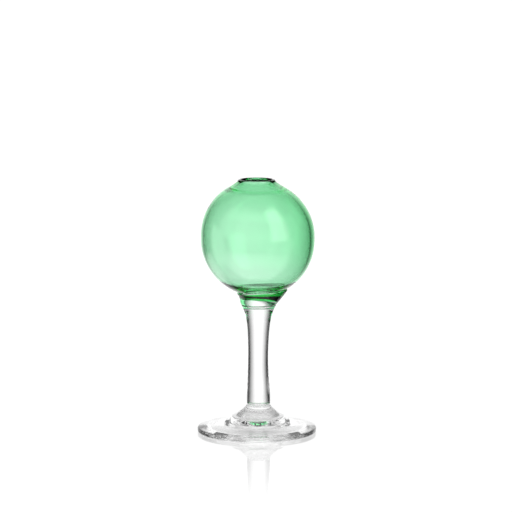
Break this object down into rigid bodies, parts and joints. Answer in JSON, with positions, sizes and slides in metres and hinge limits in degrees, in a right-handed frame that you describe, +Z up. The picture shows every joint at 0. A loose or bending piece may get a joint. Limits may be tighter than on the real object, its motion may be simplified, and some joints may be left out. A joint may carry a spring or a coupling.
{
  "type": "vase",
  "caption": "Hand-blown glass vase: a green globe bowl with a narrow lipped mouth, set in a clear collar on a solid drawn stem, a knop and a spread disc foot.",
  "frame": {"origin": "centre of the foot's base, in the plane that the vase stands on", "axes": "+Z up the vase's axis towards the mouth; the collar leans up towards +X; -Y is the front"},
  "size_m": [0.1048, 0.1048, 0.224],
  "materials": {
    "green_glass": "fire-polished",
    "clear_glass": "fire-polished"
  },
  "bodies": {
    "root": {"bowl": "green_glass", "collar": "clear_glass", "stem": "clear_glass", "knop": "clear_glass", "foot": "clear_glass"}
  },
  "joints": []
}
